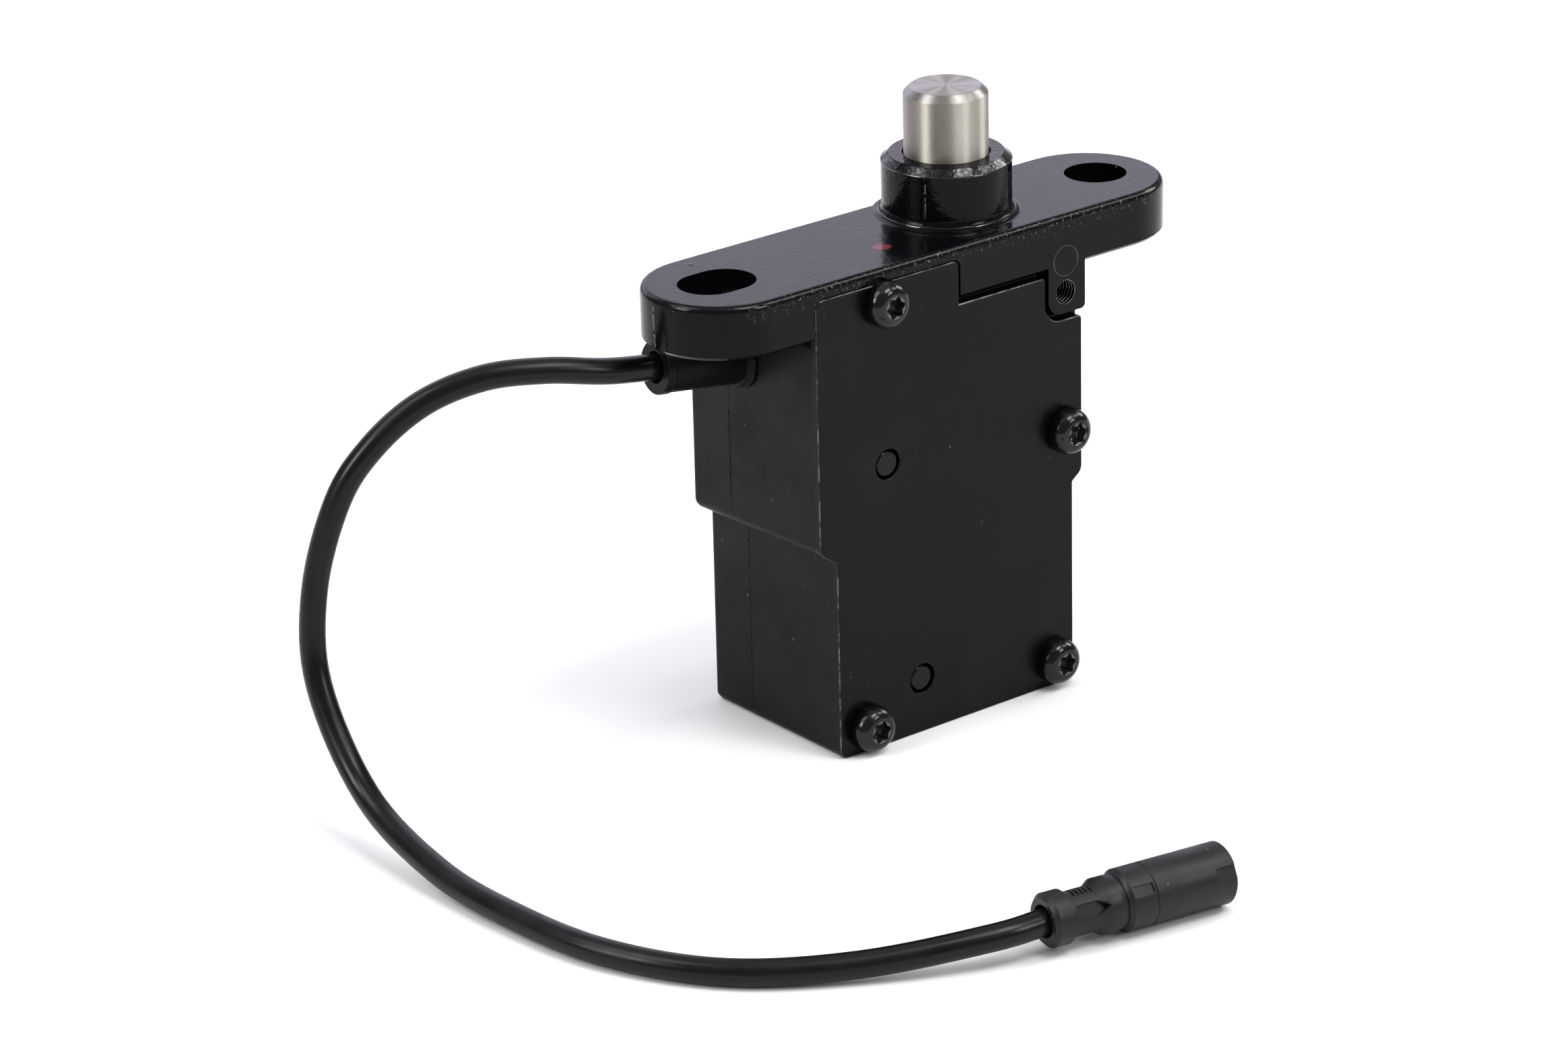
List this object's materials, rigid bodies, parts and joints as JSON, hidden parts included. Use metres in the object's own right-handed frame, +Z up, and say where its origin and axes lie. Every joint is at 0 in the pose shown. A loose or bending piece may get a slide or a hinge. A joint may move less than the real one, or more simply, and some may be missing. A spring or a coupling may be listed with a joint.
{
  "type": "motorised bolt lock",
  "caption": "Small motorised pin lock: a steel bolt in a collar on a slotted flange, a stepped black housing with a screwed cover, and a short lead with a round connector.",
  "frame": {"origin": "middle of the bottom of the lock's box, without the free lead and its connector", "axes": "+Z up along the bolt, towards its tip; +X to the right across the flange, seen from the screwed cover; +Y from the cover to the back"},
  "size_m": [0.1128, 0.0915, 0.0745],
  "materials": {
    "cast_black": "glossy black coating on a die casting",
    "cover_black": "satin black coating on sheet",
    "housing_black": "satin moulded black",
    "screw_black": "black oxide steel",
    "bolt_steel": "turned stainless steel",
    "plain_steel": "plated steel",
    "brass": "machined",
    "bronze": "sintered",
    "contact_gold": "gold plated",
    "black_rubber": "moulded",
    "cable_jacket": "satin cable jacket",
    "connector_black": "fine grained moulding",
    "slider_zinc": "plain die casting",
    "white_plastic": "moulded",
    "dark_plastic": "moulded",
    "board_green": "solder mask",
    "red_wire": "wire insulation"
  },
  "bodies": {
    "lock_body": {"mounting_flange": "cast_black", "bolt_bushing": "bronze", "bolt_seal": "black_rubber", "housing": "housing_black", "front_cover": "cover_black", "cover_gasket": "black_rubber", "cover_screw_top": "screw_black", "cover_screw_right": "screw_black", "cover_screw_lower_right": "screw_black", "cover_screw_lower_left": "screw_black", "guide_post": "screw_black", "board_post": "screw_black", "flange_screw_left": "plain_steel", "flange_screw_right": "plain_steel", "gearbox": "brass", "motor_can": "plain_steel", "motor_end_cap": "white_plastic", "motor_clip": "dark_plastic", "circuit_board": "board_green", "driver_chip": "dark_plastic", "board_header": "white_plastic", "capacitor": "plain_steel", "bolt_switch": "dark_plastic", "cable_gland": "black_rubber", "cable": "cable_jacket", "inner_lead": "cable_jacket", "motor_wire_red": "red_wire", "motor_wire_black": "dark_plastic", "connector_boot": "connector_black", "connector_sleeve": "connector_black", "connector_insert": "dark_plastic", "contact_pin_1": "contact_gold", "contact_pin_2": "contact_gold", "contact_pin_3": "contact_gold"},
    "bolt_carriage": {"lock_bolt": "bolt_steel", "bolt_slider": "slider_zinc", "drive_spring": "plain_steel"},
    "drive": {"output_shaft": "plain_steel", "drive_hub": "brass"},
    "plunger": {"switch_plunger": "white_plastic"}
  },
  "joints": [
    {"name": "bolt_slide", "type": "slide", "parent": "lock_body", "child": "bolt_carriage", "axis": [0, 0, -1], "range_m": [0, 0.008]},
    {"name": "drive_turn", "type": "hinge", "parent": "lock_body", "child": "drive", "pos_m": [0.0073, -0.00003, 0.03], "axis": [0, 0, 1], "range_deg": [0, 1253]},
    {"name": "plunger_slide", "type": "slide", "parent": "lock_body", "child": "plunger", "axis": [0, 0, -1], "range_m": [0, 0.0007]}
  ],
  "couplings": [
    {"joint": "drive_turn", "follows": "bolt_slide", "rad_per_m": 2731.8},
    {"joint": "plunger_slide", "follows": "bolt_slide", "ratio": 0.0875}
  ]
}
